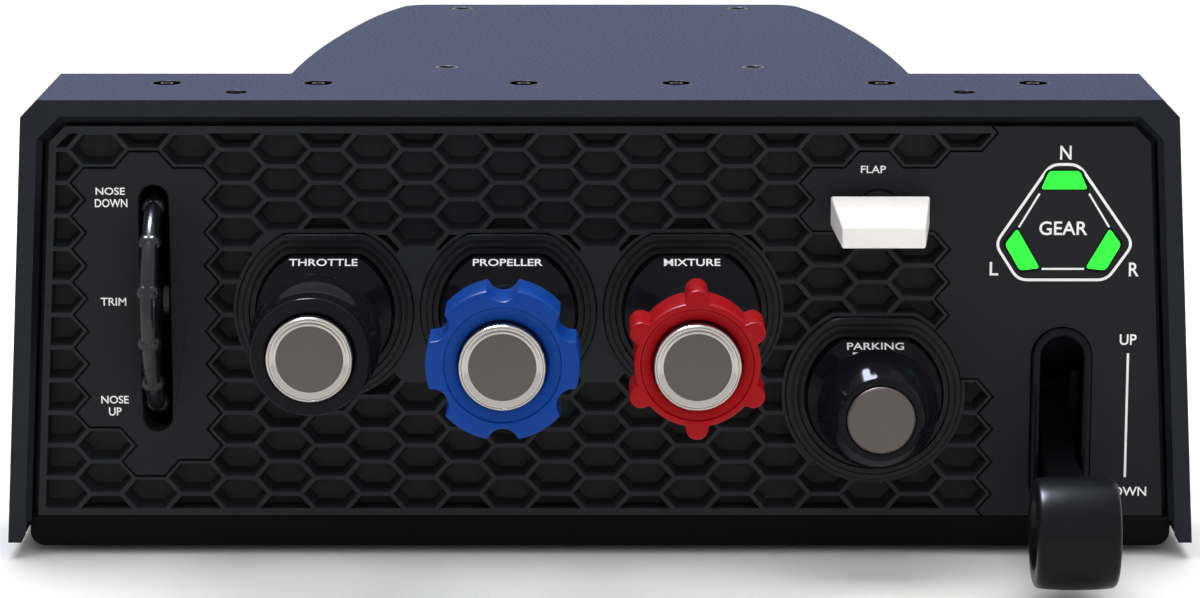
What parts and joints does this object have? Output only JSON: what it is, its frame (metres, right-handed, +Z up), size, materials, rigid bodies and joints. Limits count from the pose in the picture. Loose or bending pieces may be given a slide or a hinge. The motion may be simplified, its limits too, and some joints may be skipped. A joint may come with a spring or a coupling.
{
  "type": "throttle quadrant",
  "caption": "Desk flight-control quadrant: push-pull throttle, propeller, mixture and parking knobs, trim wheel, flap paddle and gear lever on a honeycomb panel.",
  "frame": {"origin": "middle of the footprint of the outer box, on the table under the rubber feet", "axes": "+X to the right along the panel, +Y from the panel towards the rear socket, +Z up"},
  "size_m": [0.2986, 0.2546, 0.117],
  "materials": {
    "housing_paint": "satin dark grey",
    "tray_plastic": "matte near-black",
    "panel_plastic": "fine matte grain",
    "black_gloss": "high gloss black",
    "blue_knob": "satin blue",
    "red_knob": "satin red",
    "silver": "turned and brushed",
    "white_paddle": "satin white",
    "lever_black": "satin black",
    "steel": "bright",
    "dark_steel": "black oxide",
    "inner_plastic": "plain moulding",
    "board": "green circuit board",
    "green_lamp": "lit green lens",
    "foot_rubber": "matte black"
  },
  "bodies": {
    "housing": {"top_cover": "housing_paint", "base_tray": "tray_plastic", "front_panel": "panel_plastic", "trim_plate": "panel_plastic", "switch_plate": "panel_plastic", "throttle_ring": "black_gloss", "propeller_ring": "black_gloss", "mixture_ring": "black_gloss", "parking_ring": "black_gloss", "throttle_collar": "black_gloss", "propeller_collar": "black_gloss", "mixture_collar": "black_gloss", "parking_collar": "black_gloss", "gear_slot_rim": "black_gloss", "gear_pivot_pin": "steel", "collar_nuts": "steel", "flap_switch_nut": "steel", "roof_rail": "steel", "throttle_barrel": "dark_steel", "propeller_barrel": "dark_steel", "mixture_barrel": "dark_steel", "parking_barrel": "dark_steel", "cover_screws": "dark_steel", "small_cover_screws": "dark_steel", "base_screws": "dark_steel", "desk_inserts": "dark_steel", "barrel_bulkhead": "inner_plastic", "trim_bracket": "inner_plastic", "gear_bracket": "inner_plastic", "trim_encoder": "inner_plastic", "gear_switches": "inner_plastic", "position_sensors": "inner_plastic", "flap_switch_body": "inner_plastic", "usb_socket": "inner_plastic", "control_board": "board", "led_board": "board", "nose_lens": "green_lamp", "left_lens": "green_lamp", "right_lens": "green_lamp", "rubber_feet": "foot_rubber"},
    "throttle_rod": {"throttle_rod": "steel"},
    "throttle_knob": {"throttle_knob": "black_gloss"},
    "throttle_button": {"throttle_button": "silver"},
    "propeller_rod": {"propeller_rod": "steel"},
    "propeller_knob": {"propeller_knob": "blue_knob"},
    "propeller_button": {"propeller_button": "silver"},
    "mixture_rod": {"mixture_rod": "steel"},
    "mixture_knob": {"mixture_knob": "red_knob"},
    "mixture_button": {"mixture_button": "silver"},
    "parking_brake": {"parking_rod": "steel", "parking_knob": "black_gloss", "parking_cap": "silver"},
    "trim_wheel": {"trim_wheel": "black_gloss", "trim_axle": "steel"},
    "gear_lever": {"gear_arm": "lever_black", "gear_wheel": "black_gloss"},
    "flap_lever": {"flap_lever": "steel", "flap_paddle": "white_paddle"}
  },
  "joints": [
    {"name": "throttle_slide", "type": "slide", "parent": "housing", "child": "throttle_rod", "axis": [0, -1, 0], "range_m": [-0.021, 0.039]},
    {"name": "throttle_vernier", "type": "hinge", "parent": "throttle_rod", "child": "throttle_knob", "pos_m": [-0.06863, -0.11225, 0.06335], "axis": [0, -1, 0], "continuous": true},
    {"name": "throttle_push", "type": "slide", "parent": "throttle_knob", "child": "throttle_button", "axis": [0, 1, 0], "range_m": [0, 0.003], "stiffness_N_per_m": 500, "springref_m": -0.0008},
    {"name": "propeller_slide", "type": "slide", "parent": "housing", "child": "propeller_rod", "axis": [0, -1, 0], "range_m": [-0.036, 0.024]},
    {"name": "propeller_vernier", "type": "hinge", "parent": "propeller_rod", "child": "propeller_knob", "pos_m": [-0.02287, -0.11225, 0.06335], "axis": [0, -1, 0], "continuous": true},
    {"name": "propeller_push", "type": "slide", "parent": "propeller_knob", "child": "propeller_button", "axis": [0, 1, 0], "range_m": [0, 0.003], "stiffness_N_per_m": 500, "springref_m": -0.0008},
    {"name": "mixture_slide", "type": "slide", "parent": "housing", "child": "mixture_rod", "axis": [0, -1, 0], "range_m": [-0.036, 0.024]},
    {"name": "mixture_vernier", "type": "hinge", "parent": "mixture_rod", "child": "mixture_knob", "pos_m": [0.02287, -0.11225, 0.06335], "axis": [0, -1, 0], "continuous": true},
    {"name": "mixture_push", "type": "slide", "parent": "mixture_knob", "child": "mixture_button", "axis": [0, 1, 0], "range_m": [0, 0.003], "stiffness_N_per_m": 500, "springref_m": -0.0008},
    {"name": "parking_slide", "type": "slide", "parent": "housing", "child": "parking_brake", "axis": [0, -1, 0], "range_m": [0, 0.03]},
    {"name": "trim_spin", "type": "hinge", "parent": "housing", "child": "trim_wheel", "pos_m": [-0.1111, -0.04965, 0.0648], "axis": [1, 0, 0], "continuous": true},
    {"name": "gear_swing", "type": "hinge", "parent": "housing", "child": "gear_lever", "pos_m": [0.1157, -0.03025, 0.036], "axis": [-1, 0, 0], "range_deg": [0, 40]},
    {"name": "flap_toggle", "type": "hinge", "parent": "housing", "child": "flap_lever", "pos_m": [0.0693, -0.05325, 0.0883], "axis": [-1, 0, 0], "range_deg": [-12, 12], "stiffness_Nm_per_rad": 0.12}
  ]
}
